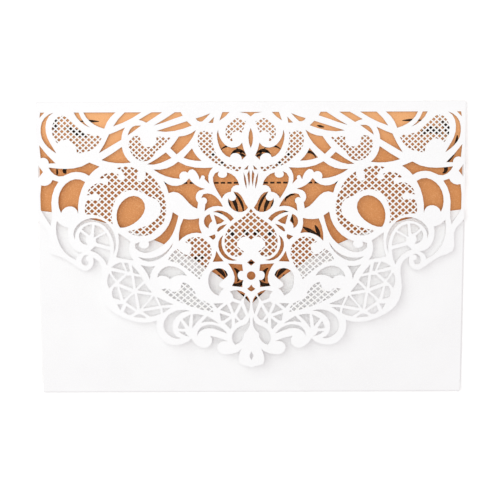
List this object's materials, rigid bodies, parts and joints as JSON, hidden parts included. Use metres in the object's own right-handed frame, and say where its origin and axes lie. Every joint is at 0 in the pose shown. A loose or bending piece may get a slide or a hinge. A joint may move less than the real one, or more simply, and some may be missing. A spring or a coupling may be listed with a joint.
{
  "type": "laser-cut pocket invitation",
  "caption": "Landscape pocket invitation of white pearl card, closed, with a laser-cut lace flap folded down over a gold insert card",
  "frame": {"origin": "centre of the back panel's outer face, at the base of the bounding box; the invitation lies on its back", "axes": "+X across the card to its right, +Y up the sheet towards the flap's fold, +Z out of the front"},
  "size_m": [0.184, 0.127, 0.0074],
  "materials": {
    "pearl_card": "satin",
    "gold_card": "satin"
  },
  "bodies": {
    "root": {"pocket_wrap": "pearl_card", "insert_card": "gold_card"}
  },
  "joints": []
}
